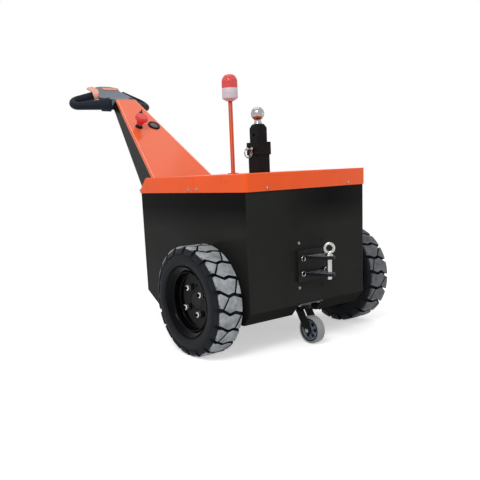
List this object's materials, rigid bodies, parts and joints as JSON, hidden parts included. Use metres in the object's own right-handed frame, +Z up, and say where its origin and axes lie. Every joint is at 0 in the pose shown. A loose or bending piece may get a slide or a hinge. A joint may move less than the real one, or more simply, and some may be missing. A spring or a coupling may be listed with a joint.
{
  "type": "pedestrian electric tow tug",
  "caption": "Walk-behind electric tug for towing carts: box body on driven wheels and casters, sloping control column with loop grips, tow ball, drop-pin clevis and beacon.",
  "frame": {"origin": "on the ground under the middle of the overall box", "axes": "+X towards the hitch end, +Y to the side away from the camera, +Z up"},
  "size_m": [1.544, 0.84, 1.071],
  "materials": {
    "body_black": "gloss",
    "lid_orange": "gloss",
    "column_orange": "gloss",
    "frame_black": "satin",
    "plastic_black": "satin",
    "cover_grey": "satin",
    "strip_orange": "satin",
    "lever_salmon": "satin",
    "stop_red": "gloss",
    "gauge_black": "gloss",
    "beacon_grey": "satin",
    "beacon_red": "gloss",
    "chrome": "polished",
    "steel": "satin",
    "cast_black": "satin",
    "battery_case": "satin",
    "caster_hub": "satin",
    "caster_rubber": "satin",
    "rim_black": "gloss",
    "tyre": "matte"
  },
  "bodies": {
    "chassis": {"side_panel_left": "body_black", "side_panel_right": "body_black", "hitch_panel": "body_black", "handle_panel": "body_black", "floor_pan": "body_black", "caster_shelves": "frame_black", "lid_hitch": "lid_orange", "lid_handle": "lid_orange", "drive_unit": "cast_black", "battery": "battery_case", "axle_tube_left": "frame_black", "axle_tube_right": "frame_black", "column_sheet": "column_orange", "column_case": "frame_black", "head_housing": "plastic_black", "head_cover": "cover_grey", "head_strip": "strip_orange", "grip_left": "plastic_black", "grip_right": "plastic_black", "thumb_lever": "lever_salmon", "stop_button": "stop_red", "key_switch": "plastic_black", "charge_gauge": "gauge_black", "lamp_mast": "lid_orange", "beacon_base": "beacon_grey", "beacon_lens": "beacon_red", "receiver": "frame_black", "pull_pin": "chrome", "clevis": "frame_black", "clevis_screws": "steel", "caster_plates": "frame_black"},
    "ball_bar_body": {"ball_bar": "frame_black", "tow_ball": "chrome"},
    "tow_pin_body": {"tow_pin": "chrome"},
    "caster_fork_hitch_body": {"caster_fork_hitch": "frame_black"},
    "caster_fork_handle_body": {"caster_fork_handle": "frame_black"},
    "caster_wheel_hitch_body": {"caster_wheel_hitch": "caster_hub", "caster_tyre_hitch": "caster_rubber"},
    "caster_wheel_handle_body": {"caster_wheel_handle": "caster_hub", "caster_tyre_handle": "caster_rubber"},
    "drive_wheel_left": {"wheel_hub_left": "chrome", "rim_left": "rim_black", "tyre_left": "tyre"},
    "drive_wheel_right": {"wheel_hub_right": "chrome", "rim_right": "rim_black", "tyre_right": "tyre"}
  },
  "joints": [
    {"name": "wheel_left_spin", "type": "hinge", "parent": "chassis", "child": "drive_wheel_left", "pos_m": [0.484, -0.3645, 0.19], "axis": [0, 1, 0], "continuous": true},
    {"name": "wheel_right_spin", "type": "hinge", "parent": "chassis", "child": "drive_wheel_right", "pos_m": [0.484, 0.3645, 0.19], "axis": [0, 1, 0], "continuous": true},
    {"name": "caster_hitch_swivel", "type": "hinge", "parent": "chassis", "child": "caster_fork_hitch_body", "pos_m": [0.6215, 0, 0.13], "axis": [0, 0, 1], "continuous": true},
    {"name": "caster_handle_swivel", "type": "hinge", "parent": "chassis", "child": "caster_fork_handle_body", "pos_m": [0.0445, 0, 0.13], "axis": [0, 0, 1], "continuous": true},
    {"name": "caster_hitch_spin", "type": "hinge", "parent": "caster_fork_hitch_body", "child": "caster_wheel_hitch_body", "pos_m": [0.6645, 0, 0.05], "axis": [0, 1, 0], "continuous": true},
    {"name": "caster_handle_spin", "type": "hinge", "parent": "caster_fork_handle_body", "child": "caster_wheel_handle_body", "pos_m": [0.0875, 0, 0.05], "axis": [0, 1, 0], "continuous": true},
    {"name": "ball_bar_lift", "type": "slide", "parent": "chassis", "child": "ball_bar_body", "axis": [0, 0, 1], "range_m": [-0.05, 0.11]},
    {"name": "tow_pin_lift", "type": "slide", "parent": "chassis", "child": "tow_pin_body", "axis": [0, 0, 1], "range_m": [0, 0.07]}
  ]
}
